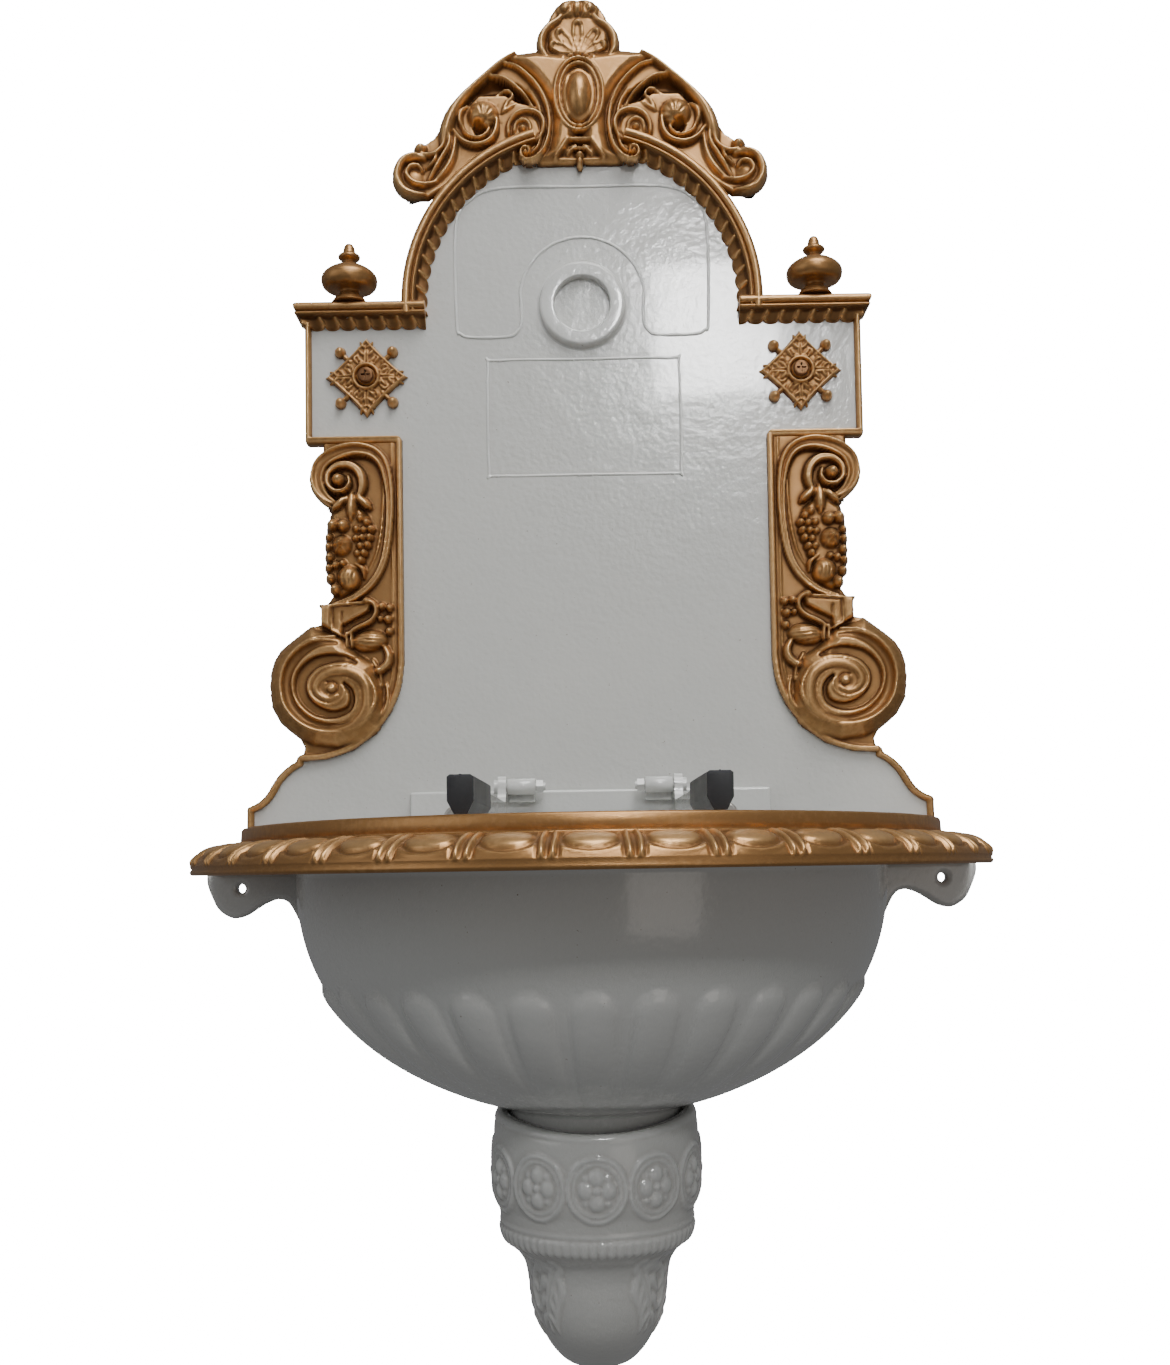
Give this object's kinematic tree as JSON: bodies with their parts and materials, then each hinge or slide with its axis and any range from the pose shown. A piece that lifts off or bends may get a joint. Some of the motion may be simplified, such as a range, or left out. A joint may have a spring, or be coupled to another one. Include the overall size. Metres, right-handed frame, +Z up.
{
  "type": "drinking fountain",
  "caption": "Ornate cast wall fountain with a high arched back plate, a half-oval gadrooned basin on a console, and two folding bucket arms.",
  "frame": {"origin": "midway between the two fixing holes in the basin's ears, on the wall plane", "axes": "+X to the fountain's right as seen from the front, +Y into the wall, +Z up"},
  "size_m": [0.574, 0.419, 1.006],
  "materials": {
    "enamel": "glossy white enamel",
    "gilt": "satin old-gold paint",
    "rubber": "matt black",
    "seal": "matt",
    "steel": "dull zinc plate",
    "brass": "dull cast brass"
  },
  "bodies": {
    "fountain": {"back_plate": "enamel", "finial_left": "gilt", "finial_right": "gilt", "finial_studs": "steel", "rosette_left": "gilt", "rosette_right": "gilt", "rosette_screw_left": "steel", "rosette_screw_right": "steel", "basin": "enamel", "join_bolts": "steel", "join_nuts": "steel", "join_washers": "steel", "console": "enamel", "console_screws": "steel", "strainer": "brass", "strainer_gasket": "seal", "strainer_screw": "steel", "waste_gasket": "seal", "waste_body": "brass", "slip_nut": "brass", "inlet_pipe": "brass", "trap_body": "brass", "trap_seal": "seal", "trap_cup": "brass", "outlet_pipe": "brass", "outlet_nut": "brass", "pipe_rosette": "brass"},
    "arm_left": {"bucket_arm_left": "enamel", "arm_shoe_left": "rubber", "hinge_bolt_left": "steel", "hinge_nut_left": "steel"},
    "arm_right": {"bucket_arm_right": "enamel", "arm_shoe_right": "rubber", "hinge_bolt_right": "steel", "hinge_nut_right": "steel"}
  },
  "joints": [
    {"name": "arm_left_fold", "type": "hinge", "parent": "fountain", "child": "arm_left", "pos_m": [-0.064, -0.037, 0.071], "axis": [-1, 0, 0], "range_deg": [0, 95]},
    {"name": "arm_right_fold", "type": "hinge", "parent": "fountain", "child": "arm_right", "pos_m": [0.064, -0.037, 0.071], "axis": [-1, 0, 0], "range_deg": [0, 95]}
  ]
}
